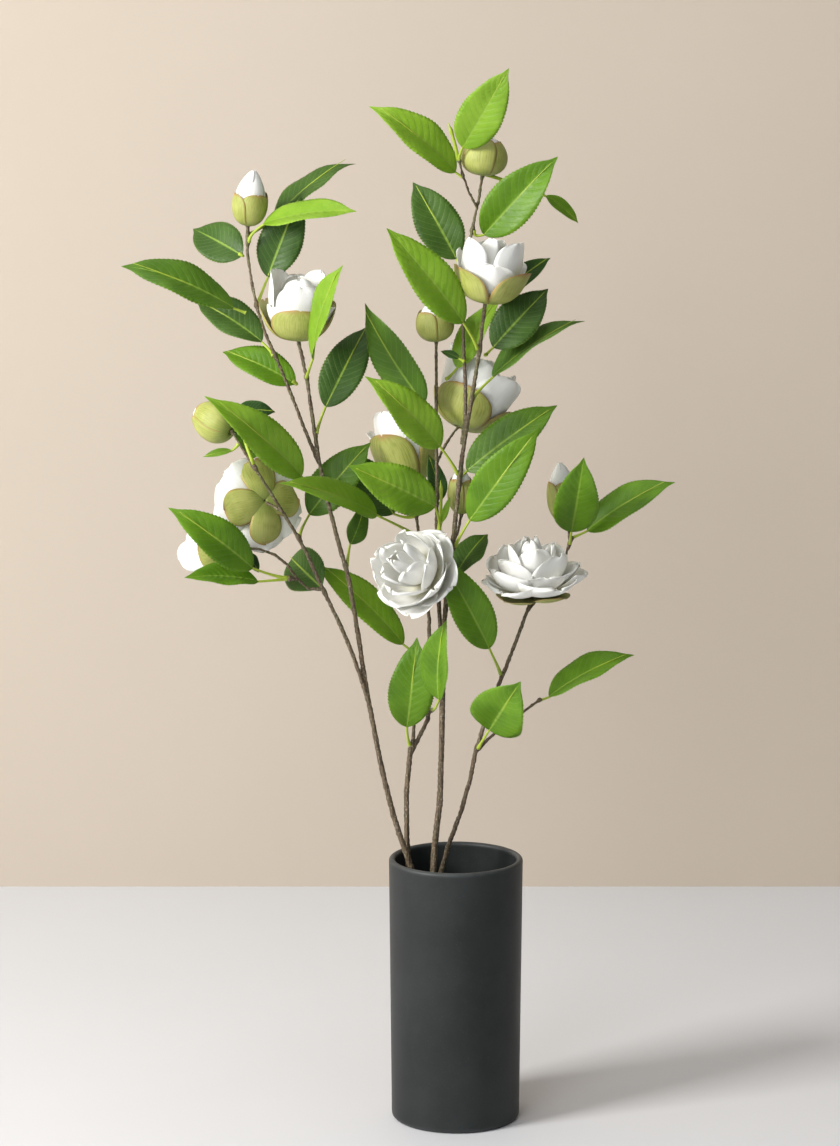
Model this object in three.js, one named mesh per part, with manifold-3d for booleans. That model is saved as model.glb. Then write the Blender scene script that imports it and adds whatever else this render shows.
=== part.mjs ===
// A spray of camellia in a tall cylinder vase: four woody branches with their twigs, forty
// leaves on short stalks and fourteen flower heads, from tight buds to open blooms.
// Millimetres, +Z up. The origin is the centre of the vase's foot, on the table.
import * as THREE from 'three';
import { mergeVertices } from 'three/addons/utils/BufferGeometryUtils.js';
import Module from 'manifold-3d';

const wasm = await Module();
wasm.setup();

// Driving dimensions
const VASE_HEIGHT = 254;
const VASE_RADIUS = 63.5; // outside, at the rim
const FOOT_RADIUS = 61; // outside, at the table: the wall leans out a little as it rises
const WALL = 6;
const FLOOR = 8; // thickness of the vase's bottom
const RIM_ROUND = 2.5;
const FOOT_ROUND = 4;
const GAP = 0.3; // between a branch and what grows on it
const BLADE = 0.9; // thickness of a leaf
const FOLD = 0.32; // rise of a leaf's margin over half its width, from its midrib
const ARCH = 0.05; // bow of a leaf, as a share of its length
const STALK_RADIUS = 1.1;
const PETAL = 1.2; // thickness of a petal

const bark = { color: 0x4a3a26, roughness: 0.85, metalness: 0 };
const green = { color: 0x4f8a1c, roughness: 0.5, metalness: 0 };
const white = { color: 0xf2f1ea, roughness: 0.6, metalness: 0 };
const charcoal = { color: 0x2b2e2e, roughness: 0.7, metalness: 0 };

const group = new THREE.Group();

function add(name, geometry, finish) {
  const mesh = new THREE.Mesh(geometry, new THREE.MeshStandardMaterial(finish));
  mesh.name = name;
  group.add(mesh);
}

const vec = ([x, y, z]) => new THREE.Vector3(x, y, z);
const mix = THREE.MathUtils.lerp;

// Moves every vertex of a closed geometry by a formula and returns it as a solid.
function shaped(geometry, formula) {
  geometry.deleteAttribute('normal');
  geometry.deleteAttribute('uv');
  const merged = mergeVertices(geometry, 1e-5);
  const place = merged.attributes.position;
  const point = new THREE.Vector3();
  for (let i = 0; i < place.count; i++) {
    point.fromBufferAttribute(place, i);
    formula(point);
    place.setXYZ(i, point.x, point.y, point.z);
  }
  return solidOf(merged);
}

function solidOf(merged) {
  const corners = merged.index.array;
  const kept = [];
  for (let i = 0; i < corners.length; i += 3) {
    const [a, b, c] = [corners[i], corners[i + 1], corners[i + 2]];
    if (a !== b && b !== c && c !== a) kept.push(a, b, c);
  }
  return new wasm.Manifold(new wasm.Mesh({
    numProp: 3,
    vertProperties: new Float32Array(merged.attributes.position.array),
    triVerts: new Uint32Array(kept),
  }));
}

function joined(solids) {
  return solids.reduce((whole, next) => whole.add(next));
}

// Cuts a piece free of what it grows on and drops the crumbs on the far side.
function freed(piece, holder) {
  const parts = piece.subtract(holder).decompose();
  return parts.reduce((best, next) => (next.volume() > best.volume() ? next : best));
}

function geometryOf(solid) {
  const mesh = solid.getMesh();
  const geometry = new THREE.BufferGeometry();
  geometry.setAttribute('position', new THREE.BufferAttribute(mesh.vertProperties, 3));
  geometry.setIndex(new THREE.BufferAttribute(mesh.triVerts, 1));
  return geometry;
}

// A round tube along a smooth curve through the points, tapering from one radius to the other.
function tube(points, startRadius, endRadius, sides, steps) {
  const curve = new THREE.CatmullRomCurve3(points.map(vec), false, 'centripetal');
  const { normals, binormals } = curve.computeFrenetFrames(steps);
  const rod = new THREE.CylinderGeometry(1, 1, 1, sides, steps);
  return shaped(rod, (p) => {
    const step = Math.round((p.y + 0.5) * steps);
    const along = step / steps;
    const radius = mix(startRadius, endRadius, along);
    const across = binormals[step].clone().multiplyScalar(p.x * radius);
    across.addScaledVector(normals[step], p.z * radius);
    p.copy(curve.getPointAt(along)).add(across);
  });
}

// Vase: one thrown ceramic cylinder with a rounded rim and a flat foot.
const inside = VASE_RADIUS - WALL;
const profile = new THREE.Path();
profile.moveTo(0, 0);
profile.lineTo(FOOT_RADIUS - FOOT_ROUND, 0);
profile.quadraticCurveTo(FOOT_RADIUS, 0, FOOT_RADIUS, FOOT_ROUND);
profile.lineTo(VASE_RADIUS, VASE_HEIGHT - RIM_ROUND);
profile.quadraticCurveTo(VASE_RADIUS, VASE_HEIGHT, VASE_RADIUS - WALL / 2, VASE_HEIGHT);
profile.quadraticCurveTo(inside, VASE_HEIGHT, inside, VASE_HEIGHT - RIM_ROUND);
profile.lineTo(FOOT_RADIUS - WALL, FLOOR + FOOT_ROUND);
profile.quadraticCurveTo(FOOT_RADIUS - WALL, FLOOR, FOOT_RADIUS - WALL - FOOT_ROUND, FLOOR);
profile.lineTo(0, FLOOR);
const wall = new THREE.LatheGeometry(profile.getPoints(3), 36);
wall.rotateX(Math.PI / 2);
add('vase', geometryOf(shaped(wall, () => {})), charcoal);

// Branches. Each is one woody piece: routes of [x, y, z] points from the lower end up, with
// the radius at both ends, and the number of steps in the tube.
const branches = {
  left: [
    [[[30, 24, 10], [0, 10, 120], [-43, -20, 251], [-61, -22, 307], [-79, -25, 393],
      [-89, -25, 455], [-102, -24, 535], [-113, -21, 572], [-122, -18, 609], [-128, -15, 639],
      [-134, -12, 680], [-139, -10, 715], [-147, -6, 750]], 3.4, 1.7, 20],
    [[[-128, -15, 634], [-138, -13, 658], [-154, -8, 699], [-168, -4, 733], [-181, 0, 763],
      [-188, 4, 793], [-193, 8, 820], [-193, 12, 853]], 1.9, 1.4, 9],
    [[[-83, -26, 412], [-93, -29, 446], [-104, -32, 475], [-125, -40, 522], [-140, -47, 558],
      [-153, -52, 582], [-178, -66, 626], [-186, -70, 640]], 2.3, 1.5, 10],
    [[[-123, -40, 519], [-140, -44, 522], [-147, -46, 530], [-161, -49, 549], [-183, -54, 560],
      [-213, -58, 559]], 1.6, 1.2, 7],
    [[[-145, -45, 529], [-155, -56, 533]], 1.5, 1.3, 1],
    [[[-160, -58, 595], [-170, -52, 600], [-179, -44, 603]], 1.5, 1.3, 2],
    [[[-184, -69, 635], [-195, -66, 653], [-207, -60, 671]], 1.4, 1.1, 3],
  ],
  back: [
    [[[-25, 12, 10], [-34, 8, 120], [-45, 5, 244], [-47, 7, 311], [-43, 8, 358]], 3, 2.6, 8],
    [[[-43, 8, 352], [-40, 8, 371], [-39, 8, 389]], 2.2, 1.8, 2],
    [[[-43, 8, 352], [-34, 10, 370], [-27, 11, 383], [-26, 14, 403], [-28, 18, 446],
      [-25, 20, 465], [-26, 24, 486], [-30, 30, 516], [-35, 34, 558], [-42, 40, 609]],
    2.3, 1.5, 14],
    [[[-26, 13, 390], [-22, 4, 396]], 1.6, 1.4, 1],
  ],
  center: [
    [[[-26, -40, 10], [-24, -32, 120], [-22, -10, 245], [-15, -11, 317], [-13, -13, 409],
      [-10, -15, 505], [-2, -15, 571], [5, -16, 641], [15, -18, 702], [24, -22, 763],
      [26, -26, 787]], 3.8, 1.8, 18],
    [[[-12, -14, 442], [-15, -11, 475], [-17, -6, 513], [-19, -3, 550], [-18, 0, 597],
      [-19, 2, 653], [-19, 4, 701], [-19, 8, 746]], 2.4, 1.5, 10],
    [[[5, -16, 652], [8, -13, 678], [8, -8, 710], [6, 1, 746], [7, 16, 801], [11, 18, 834],
      [16, 20, 854], [21, 20, 879], [24, 20, 899]], 2, 1.4, 10],
    [[[-18, 1, 632], [-10, 16, 647], [-1, 30, 658], [4, 34, 663]], 1.5, 1.3, 3],
    [[[19, 20, 867], [12, 16, 880], [7, 12, 893], [2, 8, 912]], 1.4, 1.1, 3],
    [[[-7, -15, 510], [-14, -22, 523], [-27, -32, 530]], 1.6, 1.4, 3],
    [[[-5, -15, 555], [2, -4, 569], [5, 6, 584]], 1.5, 1.3, 2],
  ],
  right: [
    [[[-34, 34, 10], [-24, 20, 120], [-14, 5, 240], [2, 4, 289], [10, 3, 314], [19, 2, 358],
      [25, 0, 379], [46, -2, 437], [58, -3, 467], [67, -4, 497], [72, -4, 509]], 3, 1.7, 16],
    [[[19, 2, 356], [32, 5, 369], [43, 8, 378], [60, 11, 390], [80, 14, 404]], 1.8, 1.3, 5],
    [[[65, -4, 490], [79, 14, 504], [92, 34, 515], [104, 52, 535], [110, 60, 551]], 1.7, 1.3, 5],
    [[[109, 59, 547], [106, 60, 567]], 1.4, 1.2, 1],
  ],
};
const BARK_SIDES = 8;

const wood = {};
const woodWithGap = {};
for (const [name, twigs] of Object.entries(branches)) {
  const grown = (extra) => joined(twigs.map(([route, from, to, steps]) => (
    tube(route, from + extra, to + extra, from > 2.5 ? BARK_SIDES : BARK_SIDES - 2, steps))));
  wood[name] = grown(0);
  woodWithGap[name] = grown(GAP);
  add(`branch_${name}`, geometryOf(wood[name]), bark);
}

// Leaves, by the branch they grow on and from the bottom up. stalk is where the leaf's stalk
// leaves the wood, base and tip are the ends of its blade, width is its widest, and turn is how
// far the blade is rolled about its own length, in degrees, from facing straight to the front.
const leaves = {
  left: [
    { stalk: [-103, -24, 535], base: [-95, -8, 562], tip: [-86, 4, 593], width: 26, turn: 35 },
    { stalk: [-125, -18, 602], base: [-143, -48, 628], tip: [-220, -104, 708], width: 42, turn: 30 },
    { stalk: [-130, -15, 661], base: [-121, 4, 688], tip: [-82, 44, 757], width: 42, turn: -10 },
    { stalk: [-139, -12, 696], base: [-152, 2, 708], tip: [-218, 28, 735], width: 38, turn: 40 },
    { stalk: [-139, -10, 712], base: [-135, -42, 738], tip: [-105, -78, 824], width: 36, turn: -62 },
    { stalk: [-170, -5, 732], base: [-182, 8, 748], tip: [-244, 45, 779], width: 40, turn: 40 },
    { stalk: [-184, 0, 763], base: [-206, -10, 781], tip: [-304, -30, 822], width: 42, turn: 48 },
    { stalk: [-185, 3, 779], base: [-175, 14, 807], tip: [-144, 24, 879], width: 44, turn: -10 },
    { stalk: [-195, 6, 809], base: [-201, 14, 825], tip: [-246, 60, 845], width: 42, turn: 20 },
    { stalk: [-193, 10, 835], base: [-177, 0, 858], tip: [-92, -25, 867], width: 38, turn: -62 },
    { stalk: [-194, 10, 842], base: [-167, 36, 861], tip: [-98, 64, 912], width: 38, turn: -60 },
  ],
  low: [
    { stalk: [-122, -38, 517], base: [-128, -18, 519], tip: [-159, 36, 539], width: 46, turn: 10 },
    { stalk: [-150, -50, 531], base: [-188, -70, 536], tip: [-248, -98, 540], width: 32, turn: 60 },
    { stalk: [-155, -56, 533], base: [-189, -78, 548], tip: [-257, -104, 607], width: 40, turn: 25 },
    { stalk: [-145, -50, 570], base: [-135, -2, 591], tip: [-80, 6, 650], width: 44, turn: -15 },
    { stalk: [-185, -70, 637], base: [-188, -58, 646], tip: [-191, -24, 691], width: 36, turn: 20 },
  ],
  back: [
    { stalk: [-43, 8, 360], base: [-47, -6, 382], tip: [-36, -12, 466], width: 46, turn: 0 },
    { stalk: [-22, 4, 396], base: [-19, -28, 415], tip: [-12, -44, 491], width: 34, turn: -35 },
    { stalk: [-28, 17, 441], base: [-50, 12, 460], tip: [-130, 22, 535], width: 42, turn: 45 },
    { stalk: [-35, 34, 556], base: [-78, -16, 591], tip: [-159, -76, 626], width: 38, turn: 52 },
    { stalk: [-39, 36, 576], base: [-60, 28, 579], tip: [-101, 20, 640], width: 42, turn: 5 },
  ],
  center: [
    { stalk: [-9, -15, 516], base: [0, 14, 528], tip: [30, 40, 559], width: 34, turn: -50 },
    { stalk: [-1, -15, 555], base: [12, -32, 585], tip: [74, -48, 669], width: 44, turn: -12 },
    { stalk: [2, -16, 613], base: [10, 4, 626], tip: [94, 14, 684], width: 44, turn: -25 },
    { stalk: [1, -16, 623], base: [-15, -34, 655], tip: [-80, -60, 720], width: 42, turn: 28 },
    { stalk: [13, -17, 691], base: [34, -6, 718], tip: [117, 8, 767], width: 36, turn: -66 },
    { stalk: [18, -19, 727], base: [35, -14, 743], tip: [84, 8, 794], width: 44, turn: -15 },
    { stalk: [19, -20, 740], base: [6, -42, 770], tip: [-65, -62, 855], width: 44, turn: 20 },
    { stalk: [-17, -3, 555], base: [-21, -28, 597], tip: [-99, -50, 636], width: 42, turn: 25 },
    { stalk: [-18, 2, 651], base: [-33, -6, 690], tip: [-88, 10, 778], width: 46, turn: -25 },
    { stalk: [-18, 4, 698], base: [1, 16, 724], tip: [40, 24, 785], width: 34, turn: -40 },
    { stalk: [7, 16, 802], base: [0, 22, 822], tip: [-41, 42, 890], width: 46, turn: 10 },
    { stalk: [16, 19, 847], base: [25, 17, 842], tip: [91, 0, 916], width: 48, turn: -12 },
    { stalk: [9, 14, 888], base: [0, 10, 903], tip: [-76, -12, 964], width: 40, turn: 35 },
    { stalk: [2, 8, 912], base: [4, -2, 924], tip: [47, -34, 997], width: 44, turn: -2 },
  ],
  right: [
    { stalk: [42, -2, 431], base: [31, -24, 463], tip: [-17, -36, 550], width: 42, turn: 15 },
    { stalk: [20, 2, 358], base: [29, -22, 381], tip: [58, -66, 435], width: 58, turn: -10 },
    { stalk: [80, 14, 404], base: [87, 16, 409], tip: [168, 28, 446], width: 40, turn: -62 },
    { stalk: [108, 57, 545], base: [110, 44, 558], tip: [118, 8, 636], width: 46, turn: 0 },
    { stalk: [110, 60, 551], base: [124, 58, 561], tip: [204, 48, 609], width: 42, turn: -48 },
  ],
};

// A leaf blade: pointed at both ends, widest below its middle, folded up along its midrib and
// bowed along its length, with its stalk joined to it.
function leaf({ stalk, base, tip, width, turn }) {
  const start = vec(base);
  const reach = vec(tip).sub(start);
  const length = reach.length();
  const axis = reach.clone().normalize();
  const up = new THREE.Vector3(0, -1, 0).projectOnPlane(axis).normalize();
  up.applyAxisAngle(axis, THREE.MathUtils.degToRad(turn));
  const side = up.clone().cross(axis);
  const spine = (v) => start.clone().addScaledVector(reach, v)
    .addScaledVector(up, ARCH * length * 4 * v * (1 - v));
  const slab = new THREE.BoxGeometry(2, 1, 1, 2, 1, 5);
  const blade = shaped(slab, (p) => {
    const v = p.z + 0.5;
    const half = Math.max(0.8, 0.5 * width * (4 * v * (1 - v)) ** 0.7 * (1.15 - 0.3 * v));
    const lift = p.y * BLADE + Math.abs(p.x) * half * FOLD;
    p.copy(spine(v).addScaledVector(side, p.x * half).addScaledVector(up, lift));
  });
  const stem = [stalk, base, spine(0.16).toArray()];
  return blade.add(tube(stem, STALK_RADIUS, STALK_RADIUS * 0.8, 5, 3));
}

for (const [place, list] of Object.entries(leaves)) {
  const holder = place === 'low' ? 'left' : place;
  list.forEach((spec, i) => {
    add(`leaf_${place}_${i + 1}`, geometryOf(freed(leaf(spec), woodWithGap[holder])), green);
  });
}

// Flower heads, by the branch that carries them. base is the end of the twig, crown is the
// middle of the mouth, and radius is the widest part of the head.
const flowers = [
  ['bud_far_left', 'left', 'bud', [-193, 12, 853], [-187, 8, 903], 17],
  ['flower_left_cup', 'left', 'cup', [-147, -6, 750], [-145, -10, 808], 33],
  ['bud_low_left', 'left', 'bud', [-207, -60, 671], [-241, -36, 685], 19],
  ['flower_low_open', 'left', 'open', [-179, -44, 603], [-202, -4, 590], 48],
  ['flower_low_cup', 'left', 'cup', [-213, -58, 559], [-247, -44, 549], 22],
  ['flower_front_open', 'center', 'open', [-27, -32, 530], [-65, -84, 560], 46],
  ['flower_back_bud', 'back', 'cup', [-42, 40, 609], [-57, 42, 678], 30],
  ['bud_mid', 'center', 'bud', [-19, 8, 746], [-22, 8, 783], 18],
  ['bud_top', 'center', 'bud', [24, 20, 899], [27, 20, 935], 22],
  ['flower_top_cup', 'center', 'cup', [26, -26, 787], [36, -30, 842], 33],
  ['flower_mid_cup', 'center', 'cup', [4, 34, 663], [32, 52, 722], 37],
  ['bud_behind', 'center', 'bud', [5, 6, 584], [4, 8, 627], 13],
  ['flower_right_open', 'right', 'open', [72, -4, 509], [68, -10, 570], 53],
  ['bud_right', 'right', 'bud', [106, 60, 567], [98, 62, 623], 17],
];

// Places a point given across, across and up a flower head's own axis.
function onHead(base, crown) {
  const foot = vec(base);
  const axis = vec(crown).sub(foot).normalize();
  const turned = new THREE.Quaternion().setFromUnitVectors(new THREE.Vector3(0, 1, 0), axis);
  return (p) => p.applyQuaternion(turned).add(foot);
}

// A turned solid from an outline of [radius, height] pairs, its rim waved into four lobes.
function turned(outline, segments, wave, place) {
  const points = outline.map(([radius, height]) => new THREE.Vector2(radius, height));
  const top = Math.max(...outline.map(([, height]) => height));
  return shaped(new THREE.LatheGeometry(points, segments), (p) => {
    p.y *= 1 + wave * (p.y / top) ** 2 * Math.cos(4 * Math.atan2(p.z, p.x));
    place(p);
  });
}

// The outline of a bowl of petals, with an outer and an inner face: it opens along a sine.
function bowl(radius, height, flare) {
  const steps = 3;
  const outer = [];
  const inner = [];
  for (let i = 0; i <= steps; i++) {
    const t = i / steps;
    const out = radius * Math.sin(0.5 * Math.PI * t ** flare);
    outer.push([Math.max(out, 2), height * t ** 1.4]);
    inner.unshift([Math.max(out - PETAL, 0.8), height * t ** 1.4 + PETAL * (1 - 0.8 * t)]);
  }
  return [[0, 0], ...outer, ...inner, [0, PETAL]];
}

// The outline of an egg, with its narrow end up.
function egg(radius, height) {
  const steps = 6;
  const outline = [];
  for (let i = 0; i <= steps; i++) {
    const t = i / steps;
    const swell = Math.max(Math.sin(Math.PI * t), 0) ** 0.8;
    outline.push([radius * swell * (1.1 - 0.3 * t), height * t]);
  }
  return outline;
}

// A bud is one closed egg. A cup is a bowl of petals round a heart, and an open bloom has a
// second, steeper bowl inside the first.
function flowerHead(kind, base, crown, radius) {
  const place = onHead(base, crown);
  const height = vec(crown).distanceTo(vec(base));
  if (kind === 'bud') return turned(egg(radius, height), 10, 0, place);
  const heart = turned(egg(radius * 0.5, height * 0.9), 6, 0, place);
  if (kind === 'cup') return turned(bowl(radius, height, 0.7), 12, 0.1, place).add(heart);
  const outer = turned(bowl(radius, height * 0.55, 0.95), 16, 0.12, place);
  const middle = turned(bowl(radius * 0.7, height * 0.85, 0.8), 12, 0.1, place);
  return joined([outer, middle, heart]);
}

for (const [name, holder, kind, base, crown, radius] of flowers) {
  const head = flowerHead(kind, base, crown, radius);
  add(name, geometryOf(freed(head, woodWithGap[holder])), white);
}

export default group;
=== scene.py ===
import math

import bpy
import numpy as np
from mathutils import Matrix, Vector


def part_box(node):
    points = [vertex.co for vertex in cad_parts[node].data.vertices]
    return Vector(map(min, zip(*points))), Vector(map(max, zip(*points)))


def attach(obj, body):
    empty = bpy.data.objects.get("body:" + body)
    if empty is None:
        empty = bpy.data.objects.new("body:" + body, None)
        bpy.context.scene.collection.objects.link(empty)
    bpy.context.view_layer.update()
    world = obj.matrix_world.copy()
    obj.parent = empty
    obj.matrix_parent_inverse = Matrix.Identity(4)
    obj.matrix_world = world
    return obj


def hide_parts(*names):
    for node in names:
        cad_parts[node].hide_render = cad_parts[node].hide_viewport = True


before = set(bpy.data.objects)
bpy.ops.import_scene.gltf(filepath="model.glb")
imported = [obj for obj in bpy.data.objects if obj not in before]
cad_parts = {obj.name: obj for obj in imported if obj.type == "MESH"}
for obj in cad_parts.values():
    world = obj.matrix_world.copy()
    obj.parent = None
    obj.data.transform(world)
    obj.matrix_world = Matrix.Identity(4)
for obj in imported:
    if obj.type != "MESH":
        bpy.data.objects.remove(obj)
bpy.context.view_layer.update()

MM = 0.001

# ---------------------------------------------------------------- Table, wall, light and camera
# A plain pale table with a plain warm wall close behind it. The key light is a large soft panel
# on the left, a little to the front, and a weaker one fills from the front.

WALL_Y = 0.85
CAMERA_PLACE = (-0.034, -3.5, 1.153)
CAMERA_TILT = math.radians(10.13)
CAMERA_LENS = 119.4
SENSOR = 36.0


class Socket:
    """One shader value. Arithmetic on it adds the Math node that works it out."""

    def __init__(self, tree, output):
        self.tree, self.output = tree, output

    def maths(self, operation, *values):
        node = self.tree.nodes.new("ShaderNodeMath")
        node.operation = operation
        for socket, value in zip(node.inputs, values):
            plug(self.tree, socket, value)
        return Socket(self.tree, node.outputs[0])

    def __add__(self, other):
        return self.maths("ADD", self, other)

    def __sub__(self, other):
        return self.maths("SUBTRACT", self, other)

    def __rsub__(self, other):
        return self.maths("SUBTRACT", other, self)

    def __mul__(self, other):
        return self.maths("MULTIPLY", self, other)

    def __pow__(self, other):
        return self.maths("POWER", self, other)

    def __abs__(self):
        return self.maths("ABSOLUTE", self)

    __radd__ = __add__
    __rmul__ = __mul__


def plug(tree, socket, value):
    """Links a Socket to a node's input, or sets the input to a plain value."""
    if isinstance(value, Socket):
        tree.links.new(value.output, socket)
    else:
        socket.default_value = value


class Finish:
    """A material under construction, with its node tree empty at first."""

    def __init__(self, name):
        self.material = bpy.data.materials.new(name)
        self.material.use_nodes = True
        self.tree = self.material.node_tree
        self.tree.nodes.clear()

    def add(self, kind, settings=None, sockets=None, output=0):
        """Adds a node: its settings first, then its sockets, and gives back one output."""
        node = self.tree.nodes.new("ShaderNode" + kind)
        for key, value in (settings or {}).items():
            setattr(node, key, value)
        for key, value in (sockets or {}).items():
            plug(self.tree, node.inputs[key], value)
        return Socket(self.tree, node.outputs[output])

    def mix(self, share, first, second):
        """A colour between two others."""
        settings = {"data_type": "RGBA"}
        return self.add("Mix", settings, {0: share, 6: first, 7: second}, 2)

    def ramp(self, value, low, high, start=0.0, end=1.0):
        """Maps low..high to start..end with eased ends."""
        settings = {"interpolation_type": "SMOOTHSTEP"}
        sockets = {"Value": value, 1: low, 2: high, 3: start, 4: end}
        return self.add("MapRange", settings, sockets)

    def noise(self, where, scale, detail=3.0, roughness=0.5):
        sockets = {"Vector": where, "Scale": scale, "Detail": detail, "Roughness": roughness}
        return self.add("TexNoise", None, sockets)

    def own_place(self, stretch=(1, 1, 1)):
        """Object coordinates in metres, stretched along the axes."""
        where = self.add("TexCoord", output="Object")
        return self.add("Mapping", None, {"Vector": where, "Scale": stretch})

    def attribute(self, name):
        """The x, y and z of a vector that the mesh carries."""
        node = self.tree.nodes.new("ShaderNodeAttribute")
        node.attribute_name = name
        split = self.tree.nodes.new("ShaderNodeSeparateXYZ")
        self.tree.links.new(node.outputs["Vector"], split.inputs[0])
        return [Socket(self.tree, out) for out in split.outputs]

    def bump(self, height, depth, under=None):
        sockets = {"Height": height, "Distance": depth}
        if under:
            sockets["Normal"] = under
        return self.add("Bump", None, sockets)

    def surface(self, glow=None, glow_share=0.0, **sockets):
        """The Principled shader, with light let through a thin blade where glow is given."""
        named = {key.replace("_", " "): value for key, value in sockets.items()}
        shader = self.add("BsdfPrincipled", None, named)
        if glow:
            through = self.add("BsdfTranslucent", None, {"Color": glow})
            shader = self.add("MixShader", None, {0: glow_share, 1: shader, 2: through})
        self.add_output(shader)
        return self.material

    def add_output(self, shader):
        out = self.tree.nodes.new("ShaderNodeOutputMaterial")
        self.tree.links.new(shader.output, out.inputs["Surface"])


def plain(name, colour, roughness):
    """A studio surface: one pale colour, barely mottled, and clear when seen from behind."""
    finish = Finish(name)
    mottle = finish.noise(finish.own_place(), 3.0)
    lighter = tuple(min(1.0, 1.06 * c) for c in colour)
    tint = finish.mix(mottle, (*colour, 1), (*lighter, 1))
    solid = finish.add("BsdfPrincipled", None, {"Base Color": tint, "Roughness": roughness})
    clear = finish.add("BsdfTransparent")
    behind = finish.add("NewGeometry", output="Backfacing")
    finish.add_output(finish.add("MixShader", None, {0: behind, 1: solid, 2: clear}))
    return finish.material


def stage_sheet(name, corners, material):
    mesh = bpy.data.meshes.new(name)
    mesh.from_pydata(corners, [], [(0, 1, 2, 3)])
    mesh.materials.append(material)
    sheet = bpy.data.objects.new(name, mesh)
    bpy.context.scene.collection.objects.link(sheet)


stage_sheet(
    "table",
    [(-4, -3.2, 0), (4, -3.2, 0), (4, 4, 0), (-4, 4, 0)],
    plain("table_white", (0.62, 0.625, 0.64), 0.6),
)
stage_sheet(
    "wall",
    [(-4, WALL_Y, 0), (4, WALL_Y, 0), (4, WALL_Y, 3.5), (-4, WALL_Y, 3.5)],
    plain("wall_plaster", (0.47, 0.405, 0.335), 0.9),
)


def panel(name, place, target, size, watts, colour):
    """A square soft light that faces a target."""
    lamp = bpy.data.lights.new(name, "AREA")
    lamp.shape = "SQUARE"
    lamp.size, lamp.energy, lamp.color = size, watts, colour
    light = bpy.data.objects.new(name, lamp)
    light.location = place
    aim = Vector(target) - Vector(place)
    light.rotation_euler = aim.to_track_quat("-Z", "Y").to_euler()
    bpy.context.scene.collection.objects.link(light)


middle = (0, 0, 0.55)
panel("key_light", (-2.4, -1.5, 1.7), middle, 0.9, 125, (1.0, 0.985, 0.96))
panel("front_fill", (-1.3, -3.2, 1.8), middle, 1.6, 44, (0.97, 0.98, 1.0))
panel("top_light", (-0.4, -0.3, 2.8), middle, 1.4, 16, (1.0, 1.0, 1.0))

world = bpy.data.worlds.new("studio_air")
world.use_nodes = True
world.node_tree.nodes["Background"].inputs["Color"].default_value = (0.95, 0.97, 1.0, 1)
world.node_tree.nodes["Background"].inputs["Strength"].default_value = 0.22
bpy.context.scene.world = world

lens = bpy.data.cameras.new("camera")
lens.lens, lens.sensor_width = CAMERA_LENS, SENSOR
camera = bpy.data.objects.new("camera", lens)
camera.location = CAMERA_PLACE
camera.rotation_euler = (math.pi / 2 - CAMERA_TILT, 0, 0)
bpy.context.scene.collection.objects.link(camera)
bpy.context.scene.camera = camera
bpy.context.scene.view_settings.view_transform = "Standard"

# ---------------------------------------------------------------- Vase
# A straight ceramic cylinder, slip-cast, with an even wall, a soft rounded rim and a flat foot.
# Its matt charcoal glaze has a fine tooth, thins to grey on the rim and foot, and is faintly
# clouded by handling.

VASE_WALL = 6 * MM
VASE_FLOOR = 8 * MM
RIM_ROUND = 3 * MM
FOOT_ROUND = 4 * MM
VASE_TAPER = 2.5 * MM


def arc(centre, radius, start, end, count):
    """Points on a circle's arc in the (radius, height) plane, with angles in degrees."""
    turn = np.radians(np.linspace(start, end, count))
    return np.stack([centre[0] + radius * np.cos(turn), centre[1] + radius * np.sin(turn)], 1)


def lathe(profile, steps):
    """Turns a profile of (radius, height) points, with its ends on the axis, about Z: point
    (r, h) becomes (r cos a, r sin a, h) for every angle a, and each end is one shared point."""
    angle = np.linspace(0, 2 * math.pi, steps, endpoint=False)
    radius, height = profile[1:-1, 0], profile[1:-1, 1]
    ring = np.stack(
        [
            radius[:, None] * np.cos(angle),
            radius[:, None] * np.sin(angle),
            np.repeat(height[:, None], steps, 1),
        ],
        -1,
    )
    ends = np.array([[0, 0, profile[0, 1]], [0, 0, profile[-1, 1]]])
    points = np.concatenate([ring.reshape(-1, 3), ends])
    index = np.arange(len(radius) * steps).reshape(len(radius), steps)
    low, high = index[:-1], index[1:]
    quads = np.stack([low, np.roll(low, -1, 1), np.roll(high, -1, 1), high], -1)
    first, last = len(points) - 2, len(points) - 1
    low_fan = np.stack([np.full(steps, first), np.roll(index[0], -1), index[0]], -1)
    high_fan = np.stack([np.full(steps, last), index[-1], np.roll(index[-1], -1)], -1)
    return points, quads.reshape(-1, 4).tolist() + low_fan.tolist() + high_fan.tolist()


def piece(name, points, faces, materials, node=None):
    """Makes one mesh object in place and fastens it to the frame."""
    mesh = bpy.data.meshes.new(name)
    mesh.from_pydata(points.tolist(), [], faces)
    for material in materials:
        mesh.materials.append(material)
    mesh.polygons.foreach_set("use_smooth", np.ones(len(mesh.polygons), bool))
    made = bpy.data.objects.new(name, mesh)
    bpy.context.scene.collection.objects.link(made)
    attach(made, "root")
    if node:
        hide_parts(node)
    return made


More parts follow.
